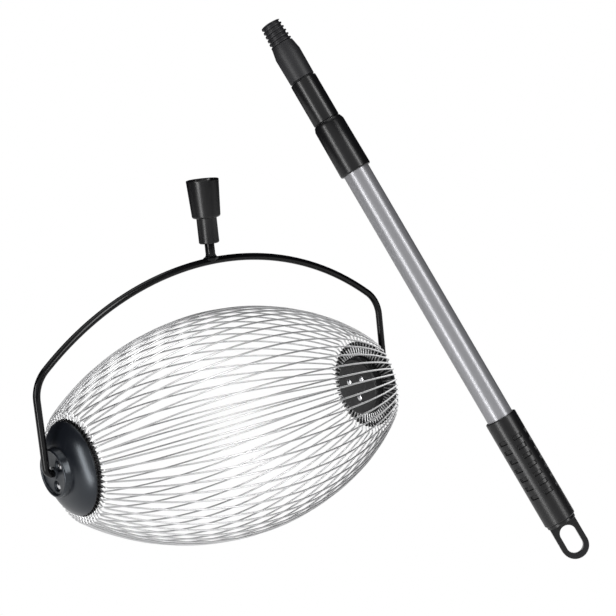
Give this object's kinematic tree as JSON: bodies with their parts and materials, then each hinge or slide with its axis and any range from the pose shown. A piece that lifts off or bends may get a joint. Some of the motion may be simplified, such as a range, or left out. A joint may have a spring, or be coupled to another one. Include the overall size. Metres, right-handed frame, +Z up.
{
  "type": "rolling nut gatherer",
  "caption": "Rolling wire cage in a bail with a threaded pole socket, and a telescopic pole with a threaded tip, ribbed grip and hanging loop, unscrewed beside it.",
  "frame": {"origin": "centre of the mouth of the socket's threaded bore, on the floor of the cup", "axes": "+X along the roller's axle, +Z up the stem and out of the socket, -Y towards the viewer and the loose pole"},
  "size_m": [0.4234, 0.4498, 0.5004],
  "materials": {
    "black_coat": "gloss powder coat",
    "black_moulding": "satin moulded plastic",
    "cap_moulding": "glossy moulded plastic",
    "grip_rubber": "matt moulded grip",
    "bright_wire": "bright plated wire",
    "bright_rivet": "plated steel",
    "spring_steel": "spring steel",
    "satin_tube": "satin grey aluminium",
    "lock_moulding": "natural moulded plastic"
  },
  "bodies": {
    "frame": {"bail_rod": "black_coat", "stem_rod": "black_coat", "stem_weld": "black_coat", "pole_socket": "black_moulding", "axle_clip_left": "spring_steel", "axle_clip_right": "spring_steel"},
    "roller": {"end_cap_left": "cap_moulding", "end_cap_right": "cap_moulding", "comb_disc_left": "black_moulding", "comb_disc_right": "black_moulding", "hub_cup_left": "black_moulding", "hub_cup_right": "black_moulding", "cap_rivets_left": "bright_rivet", "cap_rivets_right": "bright_rivet", "cage_wires_1_to_20": "bright_wire", "cage_wires_21_to_40": "bright_wire", "cage_wires_41_to_60": "bright_wire"},
    "pole": {"outer_tube": "satin_tube", "outer_collar": "black_moulding", "grip": "grip_rubber", "hanging_loop": "black_moulding"},
    "middle_lock": {"middle_lock_sleeve": "lock_moulding"},
    "middle_section": {"middle_tube": "satin_tube", "middle_collar": "black_moulding", "middle_lock_plug": "lock_moulding"},
    "inner_lock": {"inner_lock_sleeve": "lock_moulding"},
    "inner_section": {"inner_tube": "satin_tube", "thread_tip": "black_moulding", "inner_lock_plug": "lock_moulding"}
  },
  "joints": [
    {"name": "cage_spin", "type": "hinge", "parent": "frame", "child": "roller", "pos_m": [0, 0, -0.2313], "axis": [1, 0, 0], "continuous": true},
    {"name": "pole_lift", "type": "slide", "parent": "frame", "child": "pole", "axis": [0, 0, 1], "range_m": [0, 0.3]},
    {"name": "middle_slide", "type": "slide", "parent": "pole", "child": "middle_lock", "axis": [-0.2183, 0.3905, 0.8944], "range_m": [0, 0.33]},
    {"name": "middle_twist", "type": "hinge", "parent": "middle_lock", "child": "middle_section", "pos_m": [0.013, -0.1153, 0.1515], "axis": [-0.2183, 0.3905, 0.8944], "range_deg": [0, 150]},
    {"name": "inner_slide", "type": "slide", "parent": "middle_section", "child": "inner_lock", "axis": [-0.2183, 0.3905, 0.8944], "range_m": [0, 0.33]},
    {"name": "inner_twist", "type": "hinge", "parent": "inner_lock", "child": "inner_section", "pos_m": [0.013, -0.1153, 0.1515], "axis": [-0.2183, 0.3905, 0.8944], "range_deg": [0, 150]}
  ]
}
